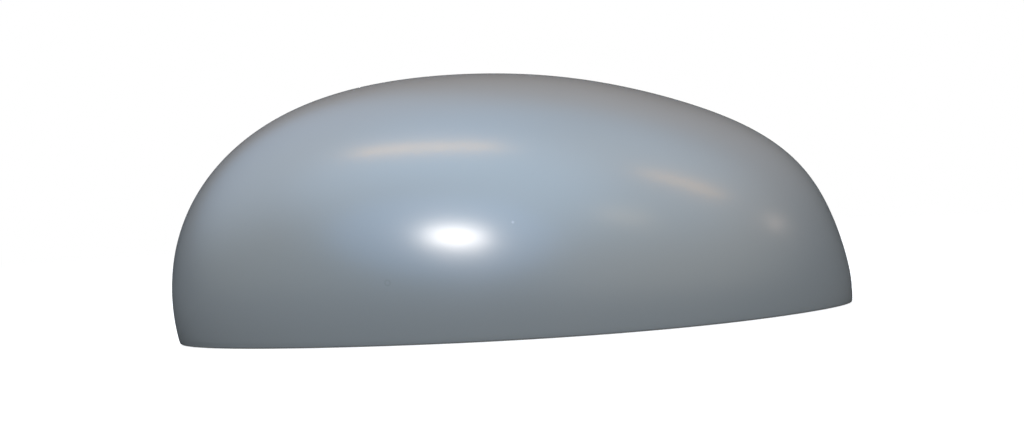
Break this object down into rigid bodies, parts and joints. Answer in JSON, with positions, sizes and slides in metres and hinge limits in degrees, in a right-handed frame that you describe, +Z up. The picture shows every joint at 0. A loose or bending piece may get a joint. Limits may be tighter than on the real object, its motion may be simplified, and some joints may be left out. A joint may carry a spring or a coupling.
{
  "type": "wing mirror cover",
  "caption": "Rounded, tapering clip-on cover for the upper front of a car's wing mirror housing, open at the back and below, with clips and locating pegs inside.",
  "frame": {"origin": "centre of the part's box, on the plane of its lower edge", "axes": "+X towards the cover's narrow outer end, +Y back towards the mirror housing, +Z up; the cover's outside faces -Y"},
  "size_m": [0.216, 0.0622, 0.0785],
  "materials": {
    "grey_primer": "satin grey primer on moulded plastic, bare moulded plastic inside"
  },
  "bodies": {
    "root": {"mirror_cover": "grey_primer"}
  },
  "joints": []
}
